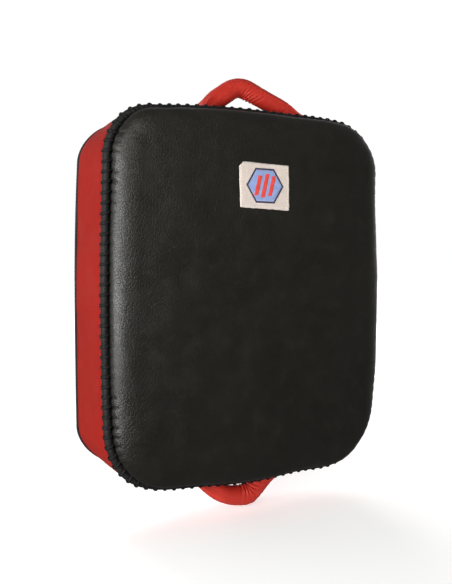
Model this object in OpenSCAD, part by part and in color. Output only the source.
// Kick shield: a hand-laced leather cover filled with foam, with four rolled handles.
// The origin is the centre of the flat strike face. +X runs right, +Z runs up, and +Y runs
// into the shield, from the strike face towards the holder. Lengths are in millimetres.

/* [Cover] */
// Width over the laced seam
shield_w = 406; // [360:1:450]
// Height over the laced seam
shield_h = 477; // [430:1:540]
// Depth from the laced seam to the back panel's outside
gusset_d = 98.5; // [80:0.5:130]
// Height of the strike face above the middle of the laced seam
face_rise = 25; // [22:0.5:30]
// Radius of the two top corners
top_corner_r = 66; // [55:1:90]
// Radius of the two bottom corners
bottom_corner_r = 81; // [55:1:100]
// Share of its height by which the top edge falls away at the corners
top_bow = 0.065; // [0:0.005:0.09]
// Share of its height by which the bottom edge rises at the corners
bottom_bow = 0.054; // [0:0.005:0.09]
// Share of its width by which each side draws in at the corners
side_bow = 0.031; // [0:0.005:0.06]
// Thickness of the synthetic leather with its padded backing
skin_t = 2.5; // [2:0.1:3]

/* [Laced seam] */
// Radius of the welt bead that the lace wraps round
welt_r = 4; // [3.5:0.1:4]
// Radius of the waxed lace
lace_r = 1.4; // [1:0.1:1.5]
// Distance from one turn of the lace to the next
lace_pitch = 12.5; // [11:0.5:16]
// Radius of the piping round the back panel
piping_r = 2; // [1.5:0.1:2]

/* [Foam] */
// Depth of the soft core between the hard strike foam and the back foam
core_d = 62; // [40:1:66]

/* [Label] */
// Width of the woven label
label_w = 71; // [50:1:90]
// Height of the woven label
label_h = 56; // [40:1:70]
// Height of the label's centre above the middle of the strike face
label_z = 137; // [100:1:145]

/* [Handles] */
// Radius of a rolled handle
handle_r = 12.25; // [11:0.25:12.5]
// Thickness of a handle's rolled leather
roll_t = 2.25; // [2:0.25:3]
// Radius of the bend at the crown of the top and bottom handles
crown_bend_r = 37; // [30:1:37]
// Height above its hinge line of the point where the lines of the top handle's two legs would meet
top_crown_h = 25.7; // [24:0.1:30]
// The same height on the bottom handle
bottom_crown_h = 29.8; // [28:0.1:34]
// Half the distance between a rear handle's feet
rear_half_span = 74; // [70:1:85]
// Height of a rear handle's grip line above its hinge line
rear_grip_h = 24; // [20:1:30]
// Distance of each rear handle from the middle of the back panel
rear_handle_x = 88; // [70:1:100]
// Length of a flattened handle tab
tab_l = 48; // [44:1:50]
// Width of a flattened handle tab
tab_w = 38; // [34:1:40]
// Thickness of a flattened handle tab
tab_t = 3; // [2.5:0.1:3]

/* [Hidden] */

half_w = shield_w / 2;
half_h = shield_h / 2;
seam_y = face_rise;
back_y = seam_y + gusset_d;

// Points on each straight side and on each corner of an outline
side_steps = 6;
corner_steps = 10;

// Insets are measured inwards from the outermost turn of the lace.
welt_inset = 7;
gusset_inset = 3.3;
skirt_inset = 11.3;
lace_bend_r = welt_inset - lace_r;
shoulder_r = 22;
flat_inset = skirt_inset + shoulder_r;
flange_w = 10.7;
front_flange_y = seam_y + 4.3;
back_flange_y = back_y - 6.5;
panel_front_y = back_y - 3.8;
panel_inset = 6.9;
piping_inset = 2.6;
// The foam stays clear of the inner turns of the lace near the seam
foam_seam_inset = 17.3;
foam_inset = gusset_inset + skin_t + 0.4;
strike_foam_y = front_flange_y + skin_t + 1.2;
core_back_y = strike_foam_y + 0.3 + core_d;

label_clip = 6;
label_t = 0.8;
label_sink = 0.5;
recess_depth = label_sink + label_t;

thread_r = 0.45;
stitch_l = 3.4;
stitch_pitch = 5.5;
// The long seam of a handle begins this far from its hinge line
seam_start = 10;

// A handle's hinge line lies this far above the surface that its tabs are sewn to.
hinge_h = handle_r + tab_t + 0.5;
roof_z = half_h - gusset_inset;
handle_y = 62;
top_feet = [-31, 68.5];
top_crown_x = -0.3;
bottom_feet = [-36.6, 42.5];
bottom_crown_x = 9.4;
rear_knee = rear_half_span - rear_grip_h;
rear_bend_r = 34;
core_r = handle_r - roll_t - 0.3;

leather_black = [0.1, 0.1, 0.1];
leather_red = [0.7, 0.16, 0.13];
foam_grey = [0.55, 0.56, 0.58];
thread_black = [0.05, 0.05, 0.05];

// ---- Outline of the shield: a rounded rectangle whose four sides bow outwards ----

function mix(p, q, f) = p + (q - p) * f;
function arc_point(c, r, angle) = c + r * [cos(angle), sin(angle)];
function unit(v) = v / norm(v);

// A point of the unbowed outline: stretch i of 8, counter-clockwise from the right side, at the fraction f.
function plain_point(i, f, inset) =
    let (
        a = half_w - inset,
        b = half_h - inset,
        rt = top_corner_r - inset,
        rb = bottom_corner_r - inset
    )
    i == 0 ? mix([a, rb - b], [a, b - rt], f) :
    i == 1 ? arc_point([a - rt, b - rt], rt, 90 * f) :
    i == 2 ? mix([a - rt, b], [rt - a, b], f) :
    i == 3 ? arc_point([rt - a, b - rt], rt, 90 + 90 * f) :
    i == 4 ? mix([-a, b - rt], [-a, rb - b], f) :
    i == 5 ? arc_point([rb - a, rb - b], rb, 180 + 90 * f) :
    i == 6 ? mix([rb - a, -b], [a - rb, -b], f) :
    arc_point([a - rb, rb - b], rb, 270 + 90 * f);

function bowed(p, inset) =
    let (
        a = half_w - inset,
        b = half_h - inset,
        bow = p.y > 0 ? top_bow : bottom_bow
    )
    [p.x * (1 - side_bow * pow(p.y / b, 2)), p.y * (1 - bow * pow(p.x / a, 2))];

function edge_point(i, f, inset) = bowed(plain_point(i, f, inset), inset);
function steps(i) = i % 2 == 0 ? side_steps : corner_steps;
function outline(inset) = [
    for (i = [0:7], k = [0:steps(i) - 1]) edge_point(i, k / steps(i), inset)
];
function ring(inset, y) = [for (p = outline(inset)) [p.x, y, p.y]];

// Lengths of the eight stretches, and the distance at which each begins.
corner_top_l = PI / 2 * top_corner_r;
corner_bottom_l = PI / 2 * bottom_corner_r;
side_l = shield_h - top_corner_r - bottom_corner_r;
stretch_l = [
    side_l, corner_top_l, shield_w - 2 * top_corner_r, corner_top_l,
    side_l, corner_bottom_l, shield_w - 2 * bottom_corner_r, corner_bottom_l
];
function length_to(i) = i == 0 ? 0 : length_to(i - 1) + stretch_l[i - 1];
function stretch_at(s, i = 0) = i == 7 || s < length_to(i + 1) ? i : stretch_at(s, i + 1);
function edge_at(s, inset) =
    let (i = stretch_at(s))
    edge_point(i, (s - length_to(i)) / stretch_l[i], inset);

// ---- Skins ----

// Side faces between neighbouring rings of n points
function bands(count, n, wrap) = [
    for (r = [0:count - (wrap ? 1 : 2)], k = [0:n - 1])
        let (
            k2 = (k + 1) % n,
            r2 = (r + 1) % count
        )
        each [[r * n + k, r * n + k2, r2 * n + k2], [r * n + k, r2 * n + k2, r2 * n + k]]
];

// A solid through rings in order, with a flat cap on the first and on the last
module lofted(rings) {
    n = len(rings[0]);
    last = (len(rings) - 1) * n;
    caps = [[for (k = [n - 1:-1:0]) k], [for (k = [0:n - 1]) last + k]];
    polyhedron(points = [for (r = rings) each r], faces = concat(bands(len(rings), n, false), caps));
}

// A closed ring round the shield, whose cross-section is a loop of [inset, y] points
module edge_ring(section) {
    rings = [for (p = section) ring(p.x, p.y)];
    polyhedron(points = [for (r = rings) each r], faces = bands(len(rings), len(rings[0]), true));
}

function round_section(inset, y, r, count) = [
    for (k = [0:count - 1]) [inset - r * sin(360 * k / count), y - r * cos(360 * k / count)]
];

// A flat plate, y0 to y1, with the outline of the shield
module plate(inset, y0, y1) {
    translate([0, y1, 0])
        rotate([90, 0, 0])
            linear_extrude(y1 - y0)
                polygon(outline(inset));
}

// ---- Cover ----

dome_steps = 6;
function shoulder(skin, k) =
    let (
        angle = 90 * k / dome_steps,
        r = shoulder_r - skin
    )
    [flat_inset - r * sin(angle), skin + r * (1 - cos(angle))];

module label_outline() {
    w = label_w / 2;
    h = label_h / 2;
    polygon([[-w, -h], [w, -h], [w, h], [label_clip - w, h], [-w, h - label_clip]]);
}

// Lies against the strike face: drawn in x and z, y0 to y1
module on_face(y0, y1) {
    translate([0, y1, label_z])
        rotate([90, 0, 0])
            linear_extrude(y1 - y0)
                children();
}

module strike_face() {
    skirt_y = front_flange_y - 0.1;
    outer = [for (k = [0:dome_steps]) shoulder(0, k)];
    inner = [for (k = [dome_steps:-1:0]) shoulder(skin_t, k)];
    section = concat(outer, [[skirt_inset, skirt_y], [skirt_inset + skin_t, skirt_y]], inner);
    color(leather_black)
        difference() {
            lofted([for (p = section) ring(p.x, p.y)]);
            on_face(-1, recess_depth)
                recess_outline();
        }
}

// The recess in the face is a hair larger than the label
module recess_outline() {
    scale((label_w + 0.6) / label_w)
        label_outline();
}

module front_welt() {
    wall = 1;
    opening = 30;
    outer = [for (a = [opening:(360 - 2 * opening) / 10:360 - opening]) [a, welt_r]];
    inner = [for (a = [360 - opening:-(360 - 2 * opening) / 10:opening]) [a, welt_r - wall]];
    section = [for (q = concat(outer, inner)) [welt_inset + q[1] * cos(q[0]), seam_y - q[1] * sin(q[0])]];
    color(leather_black)
        edge_ring(section);
}

module welt_cord() {
    color("tan")
        edge_ring(round_section(welt_inset, seam_y, welt_r - 1.3, 8));
}

// One lace: it wraps straight over the welt and slants on to the next turn inside the seam.
lace_l = length_to(7) + stretch_l[7];
lace_count = round(lace_l / lace_pitch);
lace_angles = [0, 45, 90, 135, 180, 240, 300];
lace_sides = 5;
inner_reach = 1.1;

// The middle of the lace, r from the middle of the welt, at the angle a of turn k
function lace_point(k, a, r) =
    let (
        slant = a < 180 ? 0 : (1 + cos(a)) / 2,
        p = edge_at((k + slant) * lace_l / lace_count, welt_inset - r * sin(a))
    )
    [p.x, seam_y - r * cos(a), p.y];

function lace_ring(k, a) =
    let (
        r = lace_bend_r * (a > 180 ? inner_reach : 1),
        p = lace_point(k, a, r),
        along = unit(lace_point(k, a + 1, r) - lace_point(k, a - 1, r)),
        side = unit(cross(lace_point(k, a, r + 1) - p, along)),
        out = cross(along, side)
    )
    [for (j = [0:lace_sides - 1]) p + lace_r * (cos(360 * j / lace_sides) * out + sin(360 * j / lace_sides) * side)];

module front_lacing() {
    color(thread_black)
        lofted([
            for (k = [0:lace_count - 1], a = lace_angles)
                if (k < lace_count - 1 || a <= 180) lace_ring(k, a)
        ]);
}

module side_gusset() {
    wall_inner = gusset_inset + skin_t;
    color(leather_red)
        difference() {
            plate(gusset_inset, front_flange_y, back_flange_y + skin_t);
            plate(wall_inner, front_flange_y + skin_t, back_flange_y);
            plate(gusset_inset + flange_w, front_flange_y - 1, back_y);
        }
}

module back_panel() {
    color(leather_black)
        difference() {
            plate(panel_inset, panel_front_y, back_y);
            plate(panel_inset + skin_t, panel_front_y - 1, back_y - skin_t);
        }
}

module back_piping() {
    color(leather_black)
        edge_ring(round_section(piping_inset, back_y - piping_r, piping_r, 8));
}

// ---- Foam ----

module strike_foam() {
    clear = skin_t + 0.4;
    section = concat(
        [for (k = [0:dome_steps - 1]) shoulder(clear, k) + [0.6 * k / dome_steps, 0]],
        [[foam_seam_inset, seam_y - 5], [foam_seam_inset, strike_foam_y]]
    );
    color(foam_grey)
        lofted([for (p = section) ring(p.x, p.y)]);
}

// Room that the foam leaves round a backing patch, drawn as the patch is
module backing_room() {
    translate([-tab_l / 2 - 1, -tab_w / 2 - 1, -0.4])
        cube([tab_l + 2, tab_w + 2, backing_t + 4]);
}

module core_foam() {
    color("khaki")
        difference() {
            plate(foam_inset, strike_foam_y + 0.3, core_back_y);
            on_roof(top_feet, top_bow, false, backing_lift)
                backing_room();
            on_roof(bottom_feet, bottom_bow, true, backing_lift)
                backing_room();
        }
}

module back_foam() {
    color(foam_grey)
        difference() {
            union() {
                plate(foam_inset, core_back_y + 0.3, back_flange_y - 0.3);
                plate(gusset_inset + flange_w + 0.4, back_flange_y - 1, back_y - skin_t - 0.3);
            }
            for (side = [-1, 1])
                on_back(side, rear_backing_lift)
                    backing_room();
        }
}

// ---- Label ----

module label_patch() {
    color("linen")
        on_face(label_sink, recess_depth)
            label_outline();
}

module stitch(length, r = thread_r) {
    translate([-length / 2, 0, 0])
        rotate([0, 90, 0])
            cylinder(h = length, r = r, $fn = 16);
}

// A row of stitches from p to q in the xy plane
module stitch_row(p, q, length, pitch, r = thread_r) {
    count = floor(norm(q - p) / pitch);
    for (k = [0:count - 1]) {
        spot = mix(p, q, (k + 0.5) / count);
        translate([spot.x, spot.y, 0])
            rotate([0, 0, angle_of(q - p)])
                stitch(length, r);
    }
}

module stitch_box(w, h, length, pitch, r = thread_r) {
    corners = [[-w, -h] / 2, [w, -h] / 2, [w, h] / 2, [-w, h] / 2];
    for (k = [0:3])
        stitch_row(corners[k], corners[(k + 1) % 4], length, pitch, r);
}

module label_stitching() {
    fine_r = 0.2;
    color("white")
        translate([0, label_sink - fine_r - 0.03, label_z])
            rotate([90, 0, 0])
                stitch_box(label_w - 5, label_h - 12, 2.6, 4.2, fine_r);
}

// ---- Rolled handles, drawn in the xy plane: x along the surface, y away from it ----

function turn(path, i) =
    let (
        a = unit(path[i] - path[i - 1]),
        b = unit(path[i + 1] - path[i])
    )
    acos(a * b);
function trim(path, i, bend_r) =
    i == 0 || i == len(path) - 1 ? 0 : bend_r * tan(turn(path, i) / 2);
function leg_start(path, i, bend_r) =
    path[i] + unit(path[i + 1] - path[i]) * trim(path, i, bend_r);
function leg_end(path, i, bend_r) =
    path[i + 1] - unit(path[i + 1] - path[i]) * trim(path, i + 1, bend_r);
function bend_centre(path, i, bend_r) =
    let (
        a = unit(path[i] - path[i - 1]),
        b = unit(path[i + 1] - path[i])
    )
    path[i] + unit(b - a) * bend_r / cos(turn(path, i) / 2);
function angle_of(v) = atan2(v.y, v.x);

// Half the outline of a rod of length l that starts in a round end, cut flat below the depth cut
module rod_half(r, l, cut) {
    intersection() {
        union() {
            square([r, l]);
            circle(r, $fn = 64);
        }
        translate([0, -cut])
            square([r + 1, l + cut]);
    }
}

// A straight rod from p to q with a round end at p
module rod_leg(p, q, r, cut) {
    translate([p.x, p.y, 0])
        rotate([0, 0, angle_of(q - p) - 90])
            rotate([-90, 0, 0])
                rotate_extrude($fn = 64)
                    rod_half(r, norm(q - p), cut);
}

// A rod along a path with rounded corners. Each leg laps into its bends, which are a hair thicker.
bend_lap = 2;
bend_swell = 0.15;
module bent_rod(path, bend_r, r, cut) {
    last = len(path) - 2;
    for (i = [0:last]) {
        along = unit(path[i + 1] - path[i]);
        p = leg_start(path, i, bend_r) - (i == 0 ? 0 : bend_lap) * along;
        q = leg_end(path, i, bend_r) + (i == last ? 0 : bend_lap) * along;
        if (i == 0)
            rod_leg(p, q, r, cut);
        else if (i == last)
            rod_leg(q, p, r, cut);
        else
            rod_leg(p, q, r, 0);
    }
    for (i = [1:last]) {
        c = bend_centre(path, i, bend_r);
        translate([c.x, c.y, 0])
            rotate([0, 0, angle_of(path[i + 1] - path[i]) + 90])
                rotate_extrude(angle = turn(path, i), $fn = 96)
                    translate([bend_r, 0])
                        circle(r + bend_swell, $fn = 64);
    }
}

module handle_cover(path, bend_r) {
    bore_r = handle_r - roll_t;
    color(leather_red)
        difference() {
            bent_rod(path, bend_r, handle_r, 0.72 * handle_r);
            bent_rod(path, bend_r, bore_r, bore_r);
        }
}

module handle_core(path, bend_r) {
    color(foam_grey)
        bent_rod(path, bend_r, core_r, core_r);
}

// Stitches of the long seam, along the legs and round the bends, on the tube's own +z side
module handle_seam(path, bend_r) {
    height = handle_r + bend_swell + thread_r + 0.05;
    last = len(path) - 2;
    color(thread_black)
        translate([0, 0, height]) {
            for (i = [0:last]) {
                along = unit(path[i + 1] - path[i]);
                p = leg_start(path, i, bend_r) + (i == 0 ? seam_start : 0) * along;
                q = leg_end(path, i, bend_r) - (i == last ? seam_start : 0) * along;
                stitch_row(p, q, stitch_l, stitch_pitch);
            }
            for (i = [1:last]) {
                c = bend_centre(path, i, bend_r);
                count = floor(turn(path, i) * PI / 180 * bend_r / stitch_pitch);
                first = angle_of(path[i + 1] - path[i]) + 90;
                for (k = [0:count - 1]) {
                    a = first + turn(path, i) * (k + 0.5) / count;
                    translate([c.x + bend_r * cos(a), c.y + bend_r * sin(a), 0])
                        rotate([0, 0, a + 90])
                            stitch(stitch_l);
                }
            }
        }
}

// ---- Places of the four handles ----

function crown_path(feet, crown_x, crown_h) = [[feet[0], 0], [crown_x, crown_h], [feet[1], 0]];
top_path = crown_path(top_feet, top_crown_x, top_crown_h);
bottom_path = crown_path(bottom_feet, bottom_crown_x, bottom_crown_h);
rear_path = [
    [-rear_half_span, 0], [-rear_knee, rear_grip_h], [rear_knee, rear_grip_h], [rear_half_span, 0]
];

module at_top() {
    translate([0, handle_y, roof_z + hinge_h])
        rotate([90, 0, 0])
            children();
}

module at_bottom() {
    translate([0, handle_y, -roof_z - hinge_h])
        rotate([-90, 0, 0])
            mirror([0, 0, 1])
                children();
}

module at_rear(side) {
    translate([side * rear_handle_x, back_y + hinge_h, 0])
        rotate([0, -90, 0])
            mirror([0, 0, side < 0 ? 1 : 0])
                children();
}

// A tab is drawn on its own surface: x along the handle, y across it, z away from the surface.
tab_reach = 6;
module tab_plate(t) {
    round_r = 12;
    linear_extrude(t)
        difference() {
            translate([-tab_l / 2, -tab_w / 2])
                square([tab_l, tab_w]);
            for (side = [-1, 1])
                translate([tab_l / 2 - round_r, side * (tab_w / 2 - round_r)])
                    difference() {
                        translate([0, side > 0 ? 0 : -round_r - 1])
                            square(round_r + 1);
                        circle(round_r, $fn = 48);
                    }
        }
}

module tab_stitches() {
    translate([3, 0, tab_t + thread_r + 0.05])
        stitch_box(tab_l - 14, tab_w - 8, stitch_l, stitch_pitch);
}

// Height of the gusset's outside above its middle, and its slope, at x along the top or the bottom
function roof_drop(x, bow) = roof_z * bow * pow(x / (half_w - gusset_inset), 2);
function roof_tilt(x, bow) = atan(2 * roof_z * bow * x / pow(half_w - gusset_inset, 2));

// Puts a tab of the top or bottom handle on the bowed gusset, lift above its surface
module on_roof(feet, bow, below, lift) {
    mirror([0, 0, below ? 1 : 0])
        for (side = [0, 1]) {
            out = side == 0 ? -1 : 1;
            x = feet[side] + out * (tab_l / 2 - tab_reach);
            translate([x, handle_y, roof_z - roof_drop(x, bow)])
                rotate([0, roof_tilt(x, bow), 0])
                    translate([0, 0, lift])
                        mirror([out < 0 ? 1 : 0, 0, 0])
                            children();
        }
}

// Puts a tab of a rear handle on the back panel, lift above its surface
module on_back(side, lift) {
    for (end = [-1, 1])
        translate([side * rear_handle_x, back_y + lift, end * (rear_half_span + tab_l / 2 - tab_reach)])
            rotate([0, 0, 180])
                rotate([90, 0, 0])
                    rotate([0, 0, end * 90])
                        children();
}

roof_lift = 0.4;
backing_t = 2;
backing_lift = -skin_t - backing_t - 0.9;
rear_backing_lift = -skin_t - backing_t - 0.1;

module top_handle_cover() { at_top() handle_cover(top_path, crown_bend_r); }
module top_handle_core() { at_top() handle_core(top_path, crown_bend_r); }
module top_handle_seam() { at_top() handle_seam(top_path, crown_bend_r); }
module top_handle_tabs() {
    color(leather_red)
        on_roof(top_feet, top_bow, false, roof_lift)
            tab_plate(tab_t - roof_lift);
}
module top_handle_tab_stitching() {
    color(thread_black)
        on_roof(top_feet, top_bow, false, 0)
            tab_stitches();
}
module top_handle_backing() {
    color("dimgray")
        on_roof(top_feet, top_bow, false, backing_lift)
            tab_plate(backing_t);
}

module bottom_handle_cover() { at_bottom() handle_cover(bottom_path, crown_bend_r); }
module bottom_handle_core() { at_bottom() handle_core(bottom_path, crown_bend_r); }
module bottom_handle_seam() { at_bottom() handle_seam(bottom_path, crown_bend_r); }
module bottom_handle_tabs() {
    color(leather_red)
        on_roof(bottom_feet, bottom_bow, true, roof_lift)
            tab_plate(tab_t - roof_lift);
}
module bottom_handle_tab_stitching() {
    color(thread_black)
        on_roof(bottom_feet, bottom_bow, true, 0)
            tab_stitches();
}
module bottom_handle_backing() {
    color("dimgray")
        on_roof(bottom_feet, bottom_bow, true, backing_lift)
            tab_plate(backing_t);
}

module rear_tabs(side) { color(leather_red) on_back(side, 0.1) tab_plate(tab_t - 0.1); }
module rear_tab_stitching(side) { color(thread_black) on_back(side, 0) tab_stitches(); }
module rear_backing(side) { color("dimgray") on_back(side, rear_backing_lift) tab_plate(backing_t); }

module left_handle_cover() { at_rear(-1) handle_cover(rear_path, rear_bend_r); }
module left_handle_core() { at_rear(-1) handle_core(rear_path, rear_bend_r); }
module left_handle_seam() { at_rear(-1) handle_seam(rear_path, rear_bend_r); }
module left_handle_tabs() { rear_tabs(-1); }
module left_handle_tab_stitching() { rear_tab_stitching(-1); }
module left_handle_backing() { rear_backing(-1); }

module right_handle_cover() { at_rear(1) handle_cover(rear_path, rear_bend_r); }
module right_handle_core() { at_rear(1) handle_core(rear_path, rear_bend_r); }
module right_handle_seam() { at_rear(1) handle_seam(rear_path, rear_bend_r); }
module right_handle_tabs() { rear_tabs(1); }
module right_handle_tab_stitching() { rear_tab_stitching(1); }
module right_handle_backing() { rear_backing(1); }

strike_face();
front_welt();
welt_cord();
front_lacing();
side_gusset();
back_panel();
back_piping();
strike_foam();
core_foam();
back_foam();
label_patch();
label_stitching();
top_handle_cover();
top_handle_core();
top_handle_seam();
top_handle_tabs();
top_handle_tab_stitching();
top_handle_backing();
bottom_handle_cover();
bottom_handle_core();
bottom_handle_seam();
bottom_handle_tabs();
bottom_handle_tab_stitching();
bottom_handle_backing();
left_handle_cover();
left_handle_core();
left_handle_seam();
left_handle_tabs();
left_handle_tab_stitching();
left_handle_backing();
right_handle_cover();
right_handle_core();
right_handle_seam();
right_handle_tabs();
right_handle_tab_stitching();
right_handle_backing();
